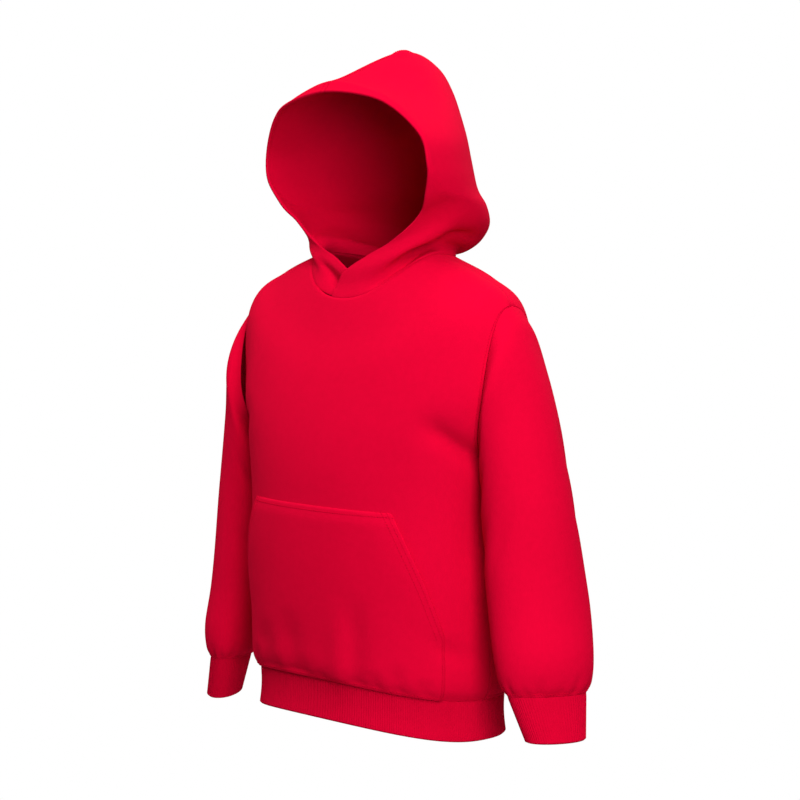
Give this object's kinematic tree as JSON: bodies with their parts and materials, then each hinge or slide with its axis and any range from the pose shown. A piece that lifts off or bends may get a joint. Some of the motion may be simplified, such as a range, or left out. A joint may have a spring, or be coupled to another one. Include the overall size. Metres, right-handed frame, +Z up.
{
  "type": "kids hoodie",
  "caption": "Child's pullover hooded sweatshirt in worn shape, with raised hood, kangaroo pocket, long sleeves and ribbed cuffs and waistband.",
  "frame": {"origin": "middle of the neck, level with the inner ends of the shoulder seams, where the wearer's shoulders carry the garment", "axes": "+Z up along the wearer, +X towards the wearer's left sleeve, -Y out of the front"},
  "size_m": [0.5002, 0.2124, 0.6837],
  "materials": {
    "fleece": "fine red jersey face of brushed sweatshirt fleece",
    "rib": "fine red rib knit, folded double"
  },
  "bodies": {
    "root": {"front": "fleece", "back": "fleece", "pocket": "fleece", "sleeve_left": "fleece", "sleeve_right": "fleece", "hood_left": "fleece", "hood_right": "fleece", "cuff_left": "rib", "cuff_right": "rib", "waistband": "rib"}
  },
  "joints": []
}
